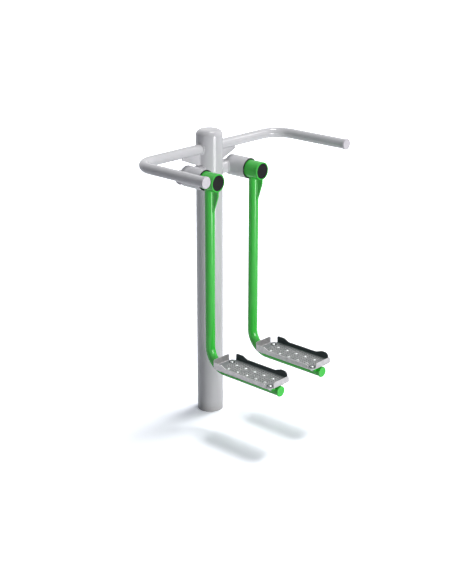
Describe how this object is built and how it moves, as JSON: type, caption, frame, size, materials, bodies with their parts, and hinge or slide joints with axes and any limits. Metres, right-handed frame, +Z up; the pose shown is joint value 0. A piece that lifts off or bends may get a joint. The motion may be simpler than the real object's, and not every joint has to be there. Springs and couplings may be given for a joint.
{
  "type": "outdoor jump trainer",
  "caption": "Post-mounted outdoor exerciser: footplates on bent tube pendulums swing sideways on bearing hubs below a U-shaped handlebar.",
  "frame": {"origin": "axis of the post at ground level, where the sleeve in the post's foot opens", "axes": "+Z up along the post, -Y towards the user, +X to the right as seen by the standing user"},
  "size_m": [0.9064, 0.5911, 1.28],
  "materials": {
    "frame_paint": "smooth light grey powder coat",
    "pendulum_paint": "smooth green powder coat",
    "tread_steel": "galvanised anti-slip sheet, worn",
    "pale_plastic": "matt moulded plug",
    "black_plastic": "matt moulded cap",
    "black_rubber": "matt",
    "steel": "turned",
    "zinc": "zinc-plated"
  },
  "bodies": {
    "frame": {"post": "frame_paint", "foot_sleeve": "steel", "post_cap": "frame_paint", "crossbar": "frame_paint", "crossbar_plug_left": "pale_plastic", "crossbar_plug_right": "pale_plastic", "handlebar_left": "frame_paint", "handlebar_right": "frame_paint", "handlebar_plug_left": "pale_plastic", "handlebar_plug_right": "pale_plastic", "handlebar_gusset_left": "frame_paint", "handlebar_gusset_right": "frame_paint", "housing_left": "frame_paint", "housing_right": "frame_paint", "housing_cover_left": "frame_paint", "housing_cover_right": "frame_paint", "axle_carrier_left": "steel", "axle_carrier_right": "steel", "axle_left": "steel", "axle_right": "steel", "swing_buffers_left": "black_rubber", "swing_buffers_right": "black_rubber", "dust_ring_left": "black_rubber", "dust_ring_right": "black_rubber", "bearing_spacer_left": "steel", "bearing_spacer_right": "steel", "tab_washer_left": "steel", "tab_washer_right": "steel", "axle_nut_left": "steel", "axle_nut_right": "steel"},
    "pendulum_left": {"hub_left": "pendulum_paint", "rear_bearing_left": "steel", "front_bearing_left": "steel", "retaining_ring_left": "steel", "hub_cap_left": "black_plastic", "arm_left": "pendulum_paint", "hub_gusset_left": "pendulum_paint", "arm_end_disc_left": "pendulum_paint", "plate_brackets_left": "pendulum_paint", "footplate_left": "tread_steel", "plate_bolts_left": "zinc", "plate_washers_left": "zinc", "plate_nuts_left": "zinc"},
    "pendulum_right": {"hub_right": "pendulum_paint", "rear_bearing_right": "steel", "front_bearing_right": "steel", "retaining_ring_right": "steel", "hub_cap_right": "black_plastic", "arm_right": "pendulum_paint", "hub_gusset_right": "pendulum_paint", "arm_end_disc_right": "pendulum_paint", "plate_brackets_right": "pendulum_paint", "footplate_right": "tread_steel", "plate_bolts_right": "zinc", "plate_washers_right": "zinc", "plate_nuts_right": "zinc"}
  },
  "joints": [
    {"name": "swing_left", "type": "hinge", "parent": "frame", "child": "pendulum_left", "pos_m": [-0.1355, -0.1395, 1.104], "axis": [0, 1, 0], "range_deg": [-3, 40]},
    {"name": "swing_right", "type": "hinge", "parent": "frame", "child": "pendulum_right", "pos_m": [0.1355, -0.1395, 1.104], "axis": [0, -1, 0], "range_deg": [-3, 40]}
  ]
}
